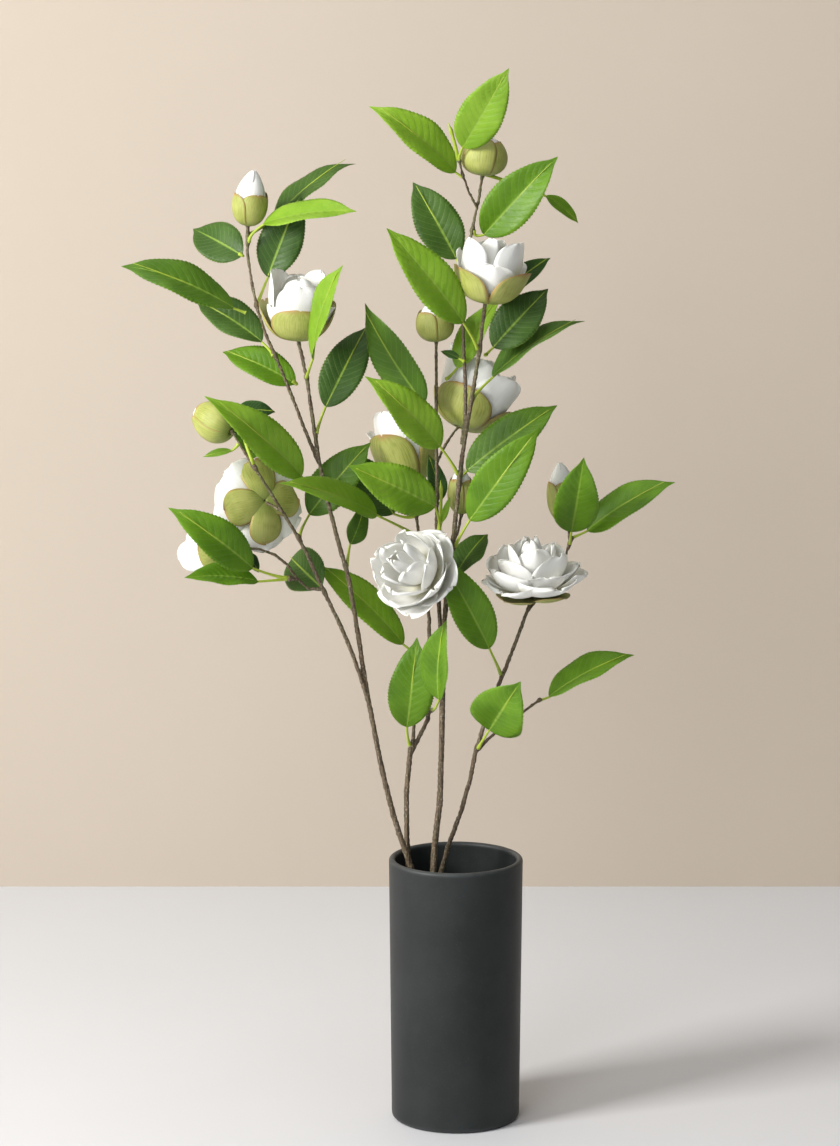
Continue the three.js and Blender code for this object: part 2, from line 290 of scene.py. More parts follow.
def vase_profile():
    """Foot centre, out along the foot, up the leaning wall, over the rim, down the inside."""
    low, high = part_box("vase")
    top, outer = high.z, high.x
    foot = outer - VASE_TAPER
    inner, inner_foot = outer - VASE_WALL, foot - VASE_WALL
    heights = np.linspace(FOOT_ROUND * 1.5, top - RIM_ROUND * 1.5, 24)
    lean = heights / top
    outside = np.stack([foot + VASE_TAPER * lean, heights], 1)
    inside = np.stack([inner_foot + VASE_TAPER * lean, heights], 1)[::-1]
    inside = inside[inside[:, 1] > VASE_FLOOR + FOOT_ROUND]
    return np.concatenate(
        [
            [(0, 0), (foot * 0.5, 0), (foot - FOOT_ROUND, 0)],
            arc((foot - FOOT_ROUND, FOOT_ROUND), FOOT_ROUND, -75, 0, 6),
            outside,
            arc((outer - RIM_ROUND, top - RIM_ROUND), RIM_ROUND, 0, 180, 13),
            inside,
            arc((inner_foot - FOOT_ROUND, VASE_FLOOR + FOOT_ROUND), FOOT_ROUND, 0, -90, 6),
            [(inner_foot * 0.5, VASE_FLOOR), (0, VASE_FLOOR)],
        ]
    )


def stoneware():
    finish = Finish("matt_charcoal_glaze")
    where = finish.own_place()
    height = finish.add("SeparateXYZ", None, {0: where}, 2)
    cloud = finish.noise(where, 14.0, 5.0, 0.6)
    speck = finish.noise(where, 900.0, 2.0, 0.6)
    rubbed = finish.noise(finish.own_place((1, 1, 0.35)), 40.0, 4.0, 0.65)
    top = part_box("vase")[1].z
    edge = finish.ramp(height, top - 5 * MM, top, 0.0, 0.75)
    foot = finish.ramp(height, 6 * MM, 0.0, 0.0, 0.6)
    tint = finish.mix(finish.ramp(cloud, 0.3, 0.7), (0.011, 0.013, 0.013, 1), (0.019, 0.022, 0.022, 1))
    tint = finish.mix(finish.ramp(speck, 0.62, 0.72, 0, 0.5), tint, (0.045, 0.05, 0.05, 1))
    tint = finish.mix(finish.ramp(rubbed, 0.6, 0.8, 0, 0.35), tint, (0.035, 0.039, 0.039, 1))
    worn = (edge + foot) * finish.ramp(rubbed, 0.3, 0.6, 0.5, 1.0)
    tint = finish.mix(worn, tint, (0.06, 0.065, 0.065, 1))
    grain = finish.noise(where, 1500.0, 2.0, 0.5)
    waver = finish.noise(finish.own_place((1, 1, 0.2)), 30.0, 2.0, 0.5)
    normal = finish.bump(waver, 0.25 * MM)
    normal = finish.bump(grain, 0.05 * MM, normal)
    rough = 0.36 + 0.14 * cloud + 0.1 * rubbed
    return finish.surface(
        Base_Color=tint, Roughness=rough, Normal=normal, Specular_IOR_Level=0.3
    )


points, faces = lathe(vase_profile(), 128)
piece("cylinder_vase", points, faces, [stoneware()], "vase")

# ---------------------------------------------------------------- Branches
# Four woody branches, each grown in one piece with its twigs. The bark is brown with pale
# flecks and fine ridges along the wood, and swells into a knuckle where each leaf stalk and
# flower stalk leaves it.

VOXEL = 0.72 * MM
KNUCKLE = 1.3 * MM
KNUCKLE_REACH = 3.6 * MM
RIDGE = 0.3 * MM


def corners_of(node):
    """A CAD node's vertices and triangles, as arrays."""
    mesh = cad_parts[node].data
    points = np.empty(len(mesh.vertices) * 3)
    mesh.vertices.foreach_get("co", points)
    mesh.calc_loop_triangles()
    faces = np.empty(len(mesh.loop_triangles) * 3, int)
    mesh.loop_triangles.foreach_get("vertices", faces)
    return points.reshape(-1, 3), faces.reshape(-1, 3)


def surface_axes(node):
    """The centre of a node's surface and its axes, longest first: the eigenvectors of the
    spread of its triangles' centres, weighted by area."""
    points, faces = corners_of(node)
    a, b, c = points[faces[:, 0]], points[faces[:, 1]], points[faces[:, 2]]
    area = np.linalg.norm(np.cross(b - a, c - a), axis=1)
    area /= area.sum()
    spots = (a + b + c) / 3
    centre = area @ spots
    spread = (spots - centre).T @ ((spots - centre) * area[:, None])
    return points, centre, np.linalg.eigh(spread)[1][:, ::-1].T


branch_nodes = sorted(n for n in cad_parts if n.startswith("branch_"))
leaf_nodes = sorted(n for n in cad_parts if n.startswith("leaf_"))
head_nodes = sorted(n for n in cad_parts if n.startswith(("bud_", "flower_")))
wood_points = np.concatenate([corners_of(n)[0] for n in branch_nodes])


def nearest_to_wood(points):
    """The mean of a node's vertices within 3 mm of the one that is closest to any branch."""
    gaps = np.linalg.norm(points[:, None] - wood_points[None], axis=2).min(1)
    start = points[gaps.argmin()]
    return points[np.linalg.norm(points - start, axis=1) < 3 * MM].mean(0)


feet = {n: nearest_to_wood(corners_of(n)[0]) for n in leaf_nodes + head_nodes}


def wave_noise(points, scale, seed):
    """Smooth noise from -1 to 1: a mean of sines along eight random directions."""
    random = np.random.default_rng(seed)
    ways = random.normal(size=(8, 3)) * scale
    phases = random.uniform(0, 2 * math.pi, 8)
    return np.sin(points @ ways.T + phases).mean(1) * 2


def bark():
    finish = Finish("brown_bark")
    where = finish.own_place()
    height = finish.add("SeparateXYZ", None, {0: where}, 2)
    grain = finish.noise(finish.own_place((1, 1, 0.25)), 700.0, 4.0, 0.7)
    patch = finish.noise(where, 60.0, 3.0, 0.6)
    fleck = finish.noise(finish.own_place((1, 1, 0.6)), 900.0, 2.0, 0.5)
    tint = finish.mix(finish.ramp(grain, 0.3, 0.7), (0.03, 0.019, 0.011, 1), (0.15, 0.10, 0.055, 1))
    green = finish.ramp(height, 0.35, 0.9, 0.15, 0.75) * finish.ramp(patch, 0.35, 0.7)
    tint = finish.mix(green, tint, (0.10, 0.115, 0.03, 1))
    tint = finish.mix(finish.ramp(fleck, 0.56, 0.7, 0, 0.8), tint, (0.30, 0.26, 0.19, 1))
    tint = finish.mix(finish.ramp(patch, 0.62, 0.78, 0, 0.5), tint, (0.24, 0.22, 0.17, 1))
    normal = finish.bump(grain, 0.45 * MM)
    return finish.surface(Base_Color=tint, Roughness=0.5 + 0.35 * grain, Normal=normal)


def grow_bark(node, material):
    """Remeshes a copy of the branch evenly, then moves every vertex along its normal: in and
    out by fine ridges that run along the wood, and out by a bell curve round each knuckle."""
    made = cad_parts[node].copy()
    made.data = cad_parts[node].data.copy()
    made.name = node.replace("branch", "wood")
    for key in list(made.keys()):
        del made[key]
    made.parent = None
    bpy.context.scene.collection.objects.link(made)
    even = made.modifiers.new("even", "REMESH")
    even.mode, even.voxel_size = "VOXEL", VOXEL
    bpy.context.view_layer.update()
    evaluated = made.evaluated_get(bpy.context.evaluated_depsgraph_get())
    mesh = bpy.data.meshes.new_from_object(evaluated)
    made.modifiers.clear()
    made.data = mesh
    points = np.empty(len(mesh.vertices) * 3)
    mesh.vertices.foreach_get("co", points)
    points = points.reshape(-1, 3)
    normals = np.empty(len(mesh.vertices) * 3)
    mesh.vertex_normals.foreach_get("vector", normals)
    normals = normals.reshape(-1, 3)
    push = RIDGE * wave_noise(points * (1, 1, 0.15), 1300, 3) + 0.8 * RIDGE * wave_noise(points, 700, 4)
    for foot in feet.values():
        gap = points - foot
        push += KNUCKLE * np.exp(-(gap**2).sum(1) / KNUCKLE_REACH**2)
    mesh.vertices.foreach_set("co", (points + normals * push[:, None]).ravel())
    mesh.update()
    mesh.materials.clear()
    mesh.materials.append(material)
    mesh.polygons.foreach_set("use_smooth", np.ones(len(mesh.polygons), bool))
    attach(made, "root")
    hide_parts(node)


bark_finish = bark()
for node in branch_nodes:
    grow_bark(node, bark_finish)

# ---------------------------------------------------------------- Leaves
# Thin satin blades on round stalks. Each is folded up along its midrib, puckered between its
# side veins and finely toothed along its margin. Young leaves are yellow-green and let light
# through, old ones are dark and bluish, and the underside is paler than the top. The
# yellow-green of the listed bright leaves is partly painted light, and the dark green of the
# listed dark ones is partly painted shade.

LEAF_ROWS = 132
LEAF_COLUMNS = 13
VEIN_PAIRS = 12
VEIN_SLANT = 2.6  # how many vein spaces a side vein climbs on its way to the margin
VEIN_BEND = 1.15
TEETH = 28
TOOTH_HEIGHT = 0.06  # as a share of the half width
TOOTH_BACK = 0.75  # the share of a tooth taken up by its long side
PUCKER = 2.6 * MM
SLIM = 0.88  # the blade's width beside that of the plain CAD leaf
LEAF_SWELL, LEAF_TAPER = 0.65, 0.95  # powers of the outline towards the stalk and the tip
OUTLINE_PEAK = 0.333
BLADE = 0.45 * MM
LEAF_FOLD = 0.4  # rise of the margin over half the width
LEAF_ARCH = 0.05  # bow over the length
BLADE_CENTRE = 0.483  # how far along the blade the centre of its area lies

# How far each leaf's green leans to the dark one and to the bright one: partly old and young leaves' own
# colour, partly painted shade and painted light.
old_and_shaded_leaves = {
    "leaf_left_3": 0.9, "leaf_left_6": 0.8, "leaf_left_8": 0.9, "leaf_left_9": 0.85,
    "leaf_left_11": 0.8, "leaf_low_1": 0.85, "leaf_back_5": 0.9, "leaf_center_6": 0.85,
    "leaf_center_1": 0.8, "leaf_center_11": 0.8, "leaf_center_9": 0.5, "leaf_left_1": 0.6,
    "leaf_center_5": 0.6, "leaf_left_7": 0.45, "leaf_low_4": 0.5, "leaf_center_3": 0.45,
    "leaf_low_5": 0.3,
}
young_and_lit_leaves = {
    "leaf_center_13": 1.0, "leaf_center_14": 0.7, "leaf_center_4": 0.9, "leaf_left_2": 0.8,
    "leaf_left_10": 0.9, "leaf_left_5": 0.7, "leaf_center_8": 0.55, "leaf_center_7": 0.7,
    "leaf_center_10": 0.8, "leaf_back_4": 0.7, "leaf_back_3": 0.6,
}


def unit(vector):
    return vector / np.linalg.norm(vector)


def measure_leaf(node):
    """Where a CAD leaf's stalk starts, where its blade starts and ends, which way its upper
    face looks, and its width. The tip is the end furthest from the stalk's foot. The blade
    lies in the plane of the two larger spreads of its area, and its margins rise upwards."""
    points, centre, (along, across, up) = surface_axes(node)
    foot = feet[node]
    tip = points[np.linalg.norm(points - foot, axis=1).argmax()]
    along = along * np.sign((tip - centre) @ along)
    place = (points - centre) @ np.stack([along, across, up]).T
    width = 2 * np.abs(place[:, 1]).max()
    inner = np.abs(place[:, 0]) < 0.3 * np.ptp(place[:, 0])
    margin = inner & (np.abs(place[:, 1]) > 0.3 * width)
    midrib = inner & (np.abs(place[:, 1]) < 0.08 * width)
    up = up * np.sign(place[margin, 2].mean() - place[midrib, 2].mean())
    length = (tip - centre) @ along / (1 - BLADE_CENTRE)
    lift = 0.7 * LEAF_ARCH * length + 0.25 * LEAF_FOLD * width
    base = tip - (tip - (centre - lift * up)) / (1 - BLADE_CENTRE)
    return foot, base, tip, unit(up - up @ unit(tip - base) * unit(tip - base)), width


def slab(points, thickness):
    """Gives a sheet, a grid of points, its thickness: half of it to each side along the
    normals, with the edges closed. Also gives the across and along share and the side of
    every vertex, for the material."""
    rows, columns = points.shape[:2]
    normal = np.cross(np.gradient(points, axis=1), np.gradient(points, axis=0))
    normal /= np.maximum(np.linalg.norm(normal, axis=2, keepdims=True), 1e-12)
    offset = normal * np.broadcast_to(thickness, (rows, columns))[..., None] / 2
    ring = np.concatenate([points + offset, (points - offset)[:, ::-1]], 1)
    turn = 2 * columns
    index = np.arange(rows * turn).reshape(rows, turn)
    low, high = index[:-1], index[1:]
    quads = [np.stack([low, np.roll(low, -1, 1), np.roll(high, -1, 1), high], -1).reshape(-1, 4)]
    for row, order in ((index[0], (0, 1, 2, 3)), (index[-1], (0, 3, 2, 1))):
        top, under = row[:columns], row[columns:][::-1]
        cap = np.stack([top[:-1], under[:-1], under[1:], top[1:]], -1)
        quads.append(cap[:, order])
    across = np.linspace(-1, 1, columns)
    shares = np.zeros((rows, turn, 3))
    shares[:, :, 0] = np.concatenate([across, across[::-1]])
    shares[:, :, 1] = np.linspace(0, 1, rows)[:, None]
    shares[:, columns:, 2] = 1
    return ring.reshape(-1, 3), [np.concatenate(quads)], shares.reshape(-1, 3)


def rod(path, radii, sides=8):
    """A round rod along a path: a ring of the given radius stands square to the path at each
    of its points, and the ends are closed flat."""
    tangent = np.gradient(path, axis=0)
    tangent /= np.linalg.norm(tangent, axis=1, keepdims=True)
    overall = unit(path[-1] - path[0])
    guide = np.eye(3)[np.abs(overall).argmin()]
    side = np.cross(tangent, guide)
    side /= np.linalg.norm(side, axis=1, keepdims=True)
    other = np.cross(tangent, side)
    angle = np.linspace(0, 2 * math.pi, sides, endpoint=False)[None, :, None]
    spoke = side[:, None] * np.cos(angle) + other[:, None] * np.sin(angle)
    points = path[:, None] + spoke * np.reshape(radii, (-1, 1, 1))
    index = np.arange(len(path) * sides).reshape(len(path), sides)
    low, high = index[:-1], index[1:]
    quads = np.stack([low, np.roll(low, -1, 1), np.roll(high, -1, 1), high], -1)
    faces = [quads.reshape(-1, 4), np.stack([index[0][::-1], index[-1]])]
    shares = np.zeros((len(path), sides, 3))
    shares[:, :, 1] = np.linspace(0, 1, len(path))[:, None]
    return points.reshape(-1, 3), faces, shares.reshape(-1, 3)


def assembled(name, parts, materials, node=None):
    """Joins grids into one piece. Each part is (points, arrays of faces, shares, material
    number), and its faces are numbered on from the points of the parts before it."""
    points, faces, shares, finishes = [], [], [], []
    count = 0
    for part_points, part_faces, part_shares, finish in parts:
        points.append(part_points)
        shares.append(part_shares)
        for group in part_faces:
            faces += (group + count).tolist()
            finishes += [finish] * len(group)
        count += len(part_points)
    made = piece(name, np.concatenate(points), faces, materials, node)
    made.data.polygons.foreach_set("material_index", finishes)
    place = made.data.attributes.new("shares", "FLOAT_VECTOR", "POINT")
    place.data.foreach_set("vector", np.concatenate(shares).ravel())
    return made


def leaf_spine(base, tip, up, along, curl):
    """The midrib: the chord from base to tip, bowed up as a parabola, its tip curling down."""
    reach = tip - base
    length = np.linalg.norm(reach)
    bow = LEAF_ARCH * length * 4 * along * (1 - along) - curl * length * along**5
    return base + along[:, None] * reach + bow[:, None] * up


def leaf_blade(base, tip, up, width, seed):
    """A folded, puckered and toothed blade. Half width follows v^0.65 (1-v)^0.95 along the
    length v, with the tip drawn out. A point at share u of it rises by the fold, dips at the
    side veins, which run forward from the midrib, and sways in long waves near the margin."""
    random = np.random.default_rng(seed)
    v = np.linspace(0.004, 0.998, LEAF_ROWS)
    u = np.linspace(-1, 1, LEAF_COLUMNS)
    side = np.cross(unit(tip - base), up)
    half = 0.5 * SLIM * width * v**LEAF_SWELL * (1 - v) ** LEAF_TAPER / OUTLINE_PEAK
    half *= 1 - 0.3 * np.exp(-(((v - 0.95) / 0.07) ** 2))
    saw = (v * TEETH) % 1.0
    slope = np.where(saw < TOOTH_BACK, saw / TOOTH_BACK, (1 - saw) / (1 - TOOTH_BACK))
    tooth = 1 + TOOTH_HEIGHT * slope * np.minimum(1, v / 0.2)
    V, U = np.meshgrid(v, u, indexing="ij")
    edge = np.abs(U)
    waves, phase = random.uniform(1.2, 2.2), random.uniform(0, 6.28, 2)
    tucked = np.where(edge > 0.97, tooth[:, None], 1.0)
    vein = V * VEIN_PAIRS - VEIN_SLANT * edge**VEIN_BEND + 0.12 * np.sin(9 * V + phase[0])
    pucker = np.cos(2 * math.pi * vein) * edge * (1.04 - edge) * PUCKER
    sway = np.sin(2 * math.pi * waves * V + np.where(U > 0, phase[0], phase[1])) * edge**2
    fold = LEAF_FOLD * random.uniform(0.6, 1.5)
    rise = half[:, None] * (fold * (np.sqrt(edge**2 + 0.01) - 0.1) - 0.14 * edge**3)
    rise = rise - pucker * np.minimum(1, half[:, None] / (6 * MM)) + 0.08 * half[:, None] * sway
    twist = random.uniform(-0.55, 0.55) * (V - 0.3)
    spine = leaf_spine(base, tip, up, v, random.uniform(0.0, 0.11))
    out = U * half[:, None] * tucked
    points = spine[:, None] + out[..., None] * side + (rise + twist * out)[..., None] * up
    return points


def leaf_green():
    """Blade colour by age with painted light and shade, veins, side and a slow mottle, with light let
    through.
    """
    finish = Finish("leaf_green")
    across, along, under = finish.attribute("shares")
    dark, young_and_lit, _ = finish.attribute("age")
    edge = abs(across)
    vein = along * VEIN_PAIRS - VEIN_SLANT * edge**VEIN_BEND
    away = abs(vein.maths("FRACT", vein) - 0.5)
    side_vein = finish.ramp(away, 0.42, 0.5) * finish.ramp(edge, 1.0, 0.8)
    fine = finish.add(
        "TexVoronoi", {"feature": "DISTANCE_TO_EDGE"}, {"Vector": finish.own_place(), "Scale": 420.0}
    )
    net = finish.ramp(fine, 0.09, 0.0)
    midrib = finish.ramp(edge + 0.03 * along, 0.09, 0.035)
    mottle = finish.noise(finish.own_place(), 38.0, 4.0, 0.6)
    top = finish.mix(finish.ramp(mottle, 0.3, 0.7), (0.085, 0.205, 0.004, 1), (0.14, 0.30, 0.006, 1))
    # The bright green is partly young leaves' own colour and partly painted light; the dark green is
    # partly old leaves' own colour and partly painted shade.
    young_and_lit_green = finish.mix(finish.ramp(mottle, 0.3, 0.7), (0.24, 0.44, 0.02, 1), (0.34, 0.55, 0.045, 1))
    old_and_shaded_green = finish.mix(finish.ramp(mottle, 0.3, 0.7), (0.012, 0.045, 0.016, 1), (0.024, 0.075, 0.024, 1))
    top = finish.mix(young_and_lit, finish.mix(dark, top, old_and_shaded_green), young_and_lit_green)
    pale = finish.mix(0.5, top, (0.3, 0.44, 0.12, 1))
    top = finish.mix(0.16 * net, top, pale)
    top = finish.mix(0.65 * side_vein, top, pale)
    top = finish.mix(0.8 * midrib, top, (0.3, 0.46, 0.06, 1))
    top = finish.mix(finish.ramp(edge, 0.93, 1.0, 0.0, 0.4), top, (0.28, 0.42, 0.05, 1))
    back = finish.mix(0.55, top, (0.2, 0.34, 0.10, 1))
    tint = finish.mix(under, top, back)
    relief = 0.6 * side_vein + midrib + 0.25 * net + 0.3 * mottle
    normal = finish.bump(relief, -0.18 * MM)
    rough = 0.34 + 0.12 * mottle + 0.2 * under + 0.06 * net
    glow = finish.mix(dark, (0.34, 0.62, 0.03, 1), (0.05, 0.16, 0.02, 1))
    return finish.surface(
        glow, 0.3, Base_Color=tint, Roughness=rough, Normal=normal, Specular_IOR_Level=0.32
    )


def stalk_green():
    finish = Finish("stalk_green")
    streak = finish.noise(finish.own_place(), 260.0, 3.0)
    tint = finish.mix(streak, (0.24, 0.36, 0.02, 1), (0.42, 0.5, 0.05, 1))
    normal = finish.bump(streak, 0.1 * MM)
    return finish.surface(Base_Color=tint, Roughness=0.42 + 0.1 * streak, Normal=normal)


blade_finish, stalk_finish = leaf_green(), stalk_green()


def bend(points, t):
    """A smooth curve by Bezier's formula on three or four points, at the shares t."""
    t = t[..., None]
    points = [np.asarray(p) for p in points]
    while len(points) > 1:
        points = [a + t * (b - a) for a, b in zip(points, points[1:])]
    return points[0]


def leaf(name, foot, base, tip, up, width, dark, young_and_lit, seed, node=None):
    """A blade with its stalk, which runs on under the blade as the midrib and fades out."""
    blade = leaf_blade(base, tip, up, width, seed)
    thin = BLADE * (1 - 0.6 * np.abs(np.linspace(-1, 1, LEAF_COLUMNS))) * np.ones((LEAF_ROWS, 1))
    v = np.linspace(0.0, 0.93, 30)
    rib_radius = 1.0 * MM * (1 - v) ** 0.8 + 0.12 * MM
    rib = leaf_spine(base, tip, up, v, 0.0) - (rib_radius * 0.75)[:, None] * up
    knee = (foot + base) / 2 - 0.08 * (tip - base)
    lead = bend([foot, knee, base - 0.75 * rib_radius[0] * up], np.linspace(0, 1, 10))[:-1]
    path = np.concatenate([lead, rib])
    swell = 1.12 * MM + 0.9 * MM * np.linspace(1, 0, len(lead)) ** 1.5
    radii = np.concatenate([swell, rib_radius])
    made = assembled(
        name,
        [(*slab(blade, thin), 0), (*rod(path, radii), 1)],
        [blade_finish, stalk_finish],
        node,
    )
    age = made.data.attributes.new("age", "FLOAT_VECTOR", "POINT")
    age.data.foreach_set("vector", np.tile((dark, young_and_lit, 0.0), len(made.data.vertices)))
    return made


for seed, node in enumerate(leaf_nodes):
    shades = old_and_shaded_leaves.get(node, 0.12), young_and_lit_leaves.get(node, 0.1)
    leaf("blade" + node[4:], *measure_leaf(node), *shades, seed, node)

# ---------------------------------------------------------------- Small leaves and shoots
# Young leaves and two leafless shoots that fill in between the large leaves. Each springs from
# the bark close to the spot given, and is pushed in there like the others.

small_leaves = {
    # name: (place on the wood, base, tip, width) in millimetres, then how dark (partly painted shade)
    # and how young (partly painted light)
    "small_blade_1": ((-186, -66, 642), (-201, -56, 689), (-166, -50, 687), 20, 0.85, 0.0),
    "small_blade_2": ((-199, -62, 564), (-194, -60, 557), (-182, -56, 538), 13, 0.85, 0.0),
    "small_blade_3": ((23, 20, 895), (83, 36, 877), (114, 40, 852), 15, 0.1, 0.5),
    "small_blade_4": ((25, -20, 767), (43, 6, 791), (86, 10, 823), 22, 0.75, 0.0),
    "small_blade_5": ((-18, 2, 585), (-14, 12, 595), (-26, 18, 637), 20, 0.85, 0.0),
    "small_blade_6": ((7, -8, 729), (2, -2, 730), (-15, 4, 736), 9, 0.8, 0.0),
    "small_blade_7": ((-17, -4, 571), (-14, -8, 577), (-6, -12, 602), 7, 0.0, 0.8),
    "small_blade_8": ((-198, -64, 655), (-206, -66, 653), (-232, -70, 648), 8, 0.3, 0.4),
}
shoots = {
    "shoot_1": ((-5, 8, 919), (-2, 6, 930), (-8, 4, 946)),
    "shoot_2": ((-15, -6, 571), (-13, -12, 599), (-15, -12, 617)),
}


def on_wood(place):
    """The corner of the CAD branches that is nearest to a place in millimetres."""
    place = np.array(place) * MM
    return wood_points[np.linalg.norm(wood_points - place, axis=1).argmin()]


for seed, (name, (place, base, tip, width, dark, young_and_lit)) in enumerate(small_leaves.items()):
    base, tip = np.array(base) * MM, np.array(tip) * MM
    ahead = unit(tip - base)
    up = np.array([0.15, -0.8, 0.55])
    up = unit(up - up @ ahead * ahead)
    leaf(name, on_wood(place), base, tip, up, width * MM, dark, young_and_lit, 200 + seed)

for name, (place, knee, tip) in shoots.items():
    share = np.linspace(0, 1, 16)
    path = bend([on_wood(place), np.array(knee) * MM, np.array(tip) * MM], share)
    radii = (1.9 - 0.7 * share + 0.7 * np.exp(-(((share - 0.8) / 0.1) ** 2))) * MM
    radii = radii * np.minimum(1, 0.25 + 4 * (1 - share))
    assembled(name, [(*rod(path, radii, 10), 0)], [stalk_finish])

# ---------------------------------------------------------------- Flower heads
# Buds, half open cups and full blooms: soft white petals in overlapping rings on the end of a
# twig, clasped from below by thick olive sepals with brown edges. Petals and sepals are
# separate layers, pinned together at the base.

PETAL_ROWS = 24
PETAL_COLUMNS = 15
PETAL_THICKNESS = 0.5 * MM
SEPAL_THICKNESS = 0.8 * MM
SEPAL_GAP = 0.085  # how far outside the petals a sepal lies, as a share of the radius
PETAL_FLARE, PETAL_ROUND = 0.55, 3.4  # powers of the outline towards the base and the tip
PETAL_PEAK = 0.7
FREE_BOW = 0.75  # radius that a free petal is bent to, beside the head's
TUCK = 0.035  # how far one edge of a petal stands out and the other in
WIDEST = 1.7  # how far round the head one petal may reach to each side, in radians

# Rings of petals from the outside in: how many, half width, how closely they hug the axis, the
# shortest reach along the middle line, and that line as four (radius, height) points of a
# curve. Lengths are shares of the head's radius and height.
RINGS = {
    "bud": [
        (3, 1.25, 1.0, 0.94, (0.05, 0.0), (1.36, 0.0), (1.2, 0.76), (0.12, 0.99)),
        (3, 1.1, 1.0, 0.98, (0.05, 0.03), (1.22, 0.03), (1.0, 0.84), (0.05, 1.03)),
    ],
    "cup": [
        (3, 0.92, 0.6, 0.66, (0.05, 0.0), (1.05, -0.02), (0.98, 0.5), (1.22, 0.94)),
        (3, 0.95, 0.9, 0.80, (0.05, 0.03), (1.02, 0.02), (1.0, 0.66), (0.74, 1.03)),
        (2, 0.85, 1.0, 0.90, (0.04, 0.06), (0.76, 0.08), (0.86, 0.70), (0.14, 0.95)),
    ],
    "open": [
        (5, 0.72, 0.0, 0.82, (0.05, 0.06), (0.45, -0.02), (0.88, 0.05), (1.02, 0.30)),
        (5, 0.64, 0.15, 0.84, (0.05, 0.08), (0.46, 0.03), (0.86, 0.22), (0.86, 0.60)),
        (4, 0.54, 0.4, 0.90, (0.04, 0.10), (0.40, 0.08), (0.74, 0.38), (0.62, 0.80)),
        (4, 0.42, 0.7, 0.90, (0.04, 0.12), (0.30, 0.14), (0.54, 0.50), (0.36, 0.92)),
        (3, 0.30, 0.9, 0.95, (0.03, 0.16), (0.20, 0.24), (0.34, 0.66), (0.06, 0.94)),
    ],
}
SEPAL_RINGS = {
    "bud": (4, 1.25, 1.0, 0.92),
    "cup": (3, 1.1, 1.0, 0.85),
    "open": (4, 0.40, 0.0, 0.9),
}
UNDER_BLOOM = ((0.0, 0.0), (0.3, -0.07), (0.62, -0.02), (0.86, 0.20))

# Each head's turn about its axis in degrees, with 0 where one sepal faces the front, and how
# much of the petals' length its sepals cover.
heads = {
    "bud_behind": (-45, 0.80),
    "bud_far_left": (-62, 0.66),
    "bud_low_left": (20, 0.90),
    "bud_mid": (-45, 0.80),
    "bud_right": (-80, 0.78),
    "bud_top": (-30, 0.90),
    "flower_back_bud": (-35, 0.85),
    "flower_front_open": (30, 0.85),
    "flower_left_cup": (8, 0.70),
    "flower_low_cup": (15, 0.7),
    "flower_low_open": (20, 0.98),
    "flower_mid_cup": (-15, 0.68),
    "flower_right_open": (45, 0.85),
    "flower_top_cup": (-60, 0.72),
}


def measure_head(node):
    """A CAD head's foot on its twig, its axis from the foot through the centre of its surface,
    and its largest radius and height on that axis."""
    points, centre, _ = surface_axes(node)
    foot = feet[node]
    axis = unit(centre - foot)
    height = (points - foot) @ axis
    radius = np.linalg.norm(points - foot - height[:, None] * axis, axis=1)
    return foot, axis, radius.max(), height.max()


def petal(line, reach, half_width, hug, radius, height, azimuth, gap, ruffle, random):
    """A petal in its head's own frame, with z along the axis. Its middle line is a curve in the
    plane of the axis, cut short at reach. A hugging petal is turned about the axis: a point
    goes to the angle half width / distance. A free one is bent to a circle instead, hollow side
    inwards: a point leaves the line by r(1 - cos a) inwards and r sin a aside. One edge lies
    further out, so that each tucks under the next, and the tip may be notched and wavy."""
    v = 1 - (1 - np.linspace(0.03, 1, PETAL_ROWS)) ** 1.35
    u = np.linspace(-1, 1, PETAL_COLUMNS)
    V, U = np.meshgrid(np.minimum(v, 0.998), u, indexing="ij")
    notch = random.uniform(0.0, 0.05) * np.exp(-((U / 0.22) ** 2)) * V**8
    lean = random.uniform(0.93, 1.0) if gap == 0 else 1.0
    corners = [(r * radius * lean, z * height) for r, z in line]
    middle = bend(corners, reach * V * (1 - notch))
    along = np.gradient(middle, axis=0)
    along /= np.linalg.norm(along, axis=2, keepdims=True)
    inward = np.stack([-along[..., 1], along[..., 0]], -1)
    middle = middle - gap * radius * inward
    far = np.maximum(middle[..., 0], 0.02 * radius)
    half = half_width * radius * V**PETAL_FLARE * (1 - V**PETAL_ROUND) ** 0.5 / PETAL_PEAK
    turn = WIDEST * np.tanh(half / far / WIDEST) * U
    bow = FREE_BOW * radius
    free = half * U / bow
    radial = hug * far * np.cos(turn) + (1 - hug) * (far + bow * (1 - np.cos(free)) * inward[..., 0])
    aside = hug * far * np.sin(turn) + (1 - hug) * bow * np.sin(free)
    rise = middle[..., 1] + (1 - hug) * bow * (1 - np.cos(free)) * inward[..., 1]
    waves = random.uniform(1.2, 2.2)
    sway = np.sin(math.pi * waves * U + random.uniform(0, 6.28)) * V**4 + 0.6 * V**6
    push = radius * (TUCK * U * V + ruffle * sway)
    radial = radial - push * inward[..., 0]
    rise = rise - push * inward[..., 1]
    angle = azimuth + random.uniform(-0.1, 0.1)
    x = radial * math.cos(angle) - aside * math.sin(angle)
    y = radial * math.sin(angle) + aside * math.cos(angle)
    return np.stack([x, y, rise], -1)


